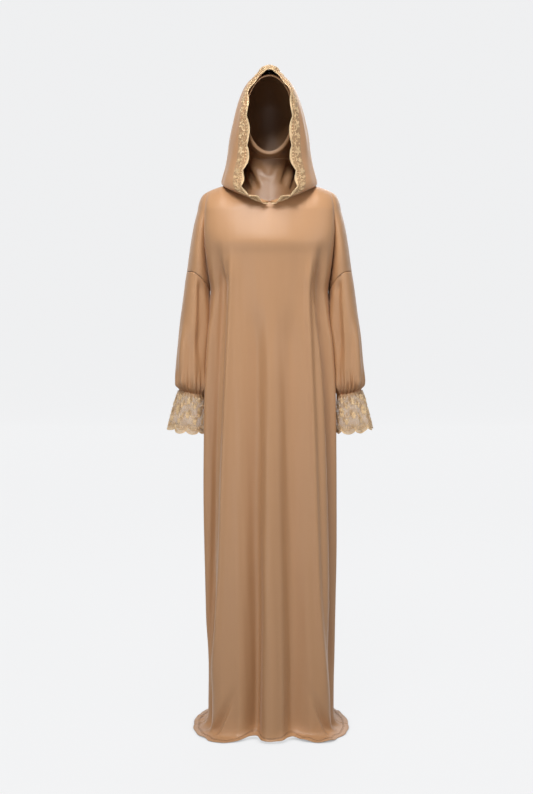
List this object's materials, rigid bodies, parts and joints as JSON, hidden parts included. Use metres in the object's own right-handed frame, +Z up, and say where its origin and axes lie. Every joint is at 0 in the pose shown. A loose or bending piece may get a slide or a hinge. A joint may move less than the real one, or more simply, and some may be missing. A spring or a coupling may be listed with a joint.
{
  "type": "hooded prayer abaya",
  "caption": "Hooded ankle-length prayer gown in its worn form, with gathered sleeves, lace at the cuffs and hood edge, and an inner cap with a neck cowl.",
  "frame": {"origin": "midway between the shoulders, 1.45 m above the floor, where the wearer carries the garment", "axes": "+Z up, the front faces -Y, and +X is towards the wearer's left"},
  "size_m": [0.5449, 0.3939, 1.7696],
  "materials": {
    "cloth": "smooth camel jersey with a soft sheen",
    "inner_cloth": "the same jersey, worn close to the head and neck",
    "lace": "fine champagne net with gold cord embroidery"
  },
  "bodies": {
    "root": {"front": "cloth", "back": "cloth", "sleeve_left": "cloth", "sleeve_right": "cloth", "hood_left": "cloth", "hood_right": "cloth", "inner_cap": "inner_cloth", "neck_cowl": "inner_cloth", "cuff_left": "lace", "cuff_right": "lace", "hood_lace_left": "lace", "hood_lace_right": "lace"}
  },
  "joints": []
}
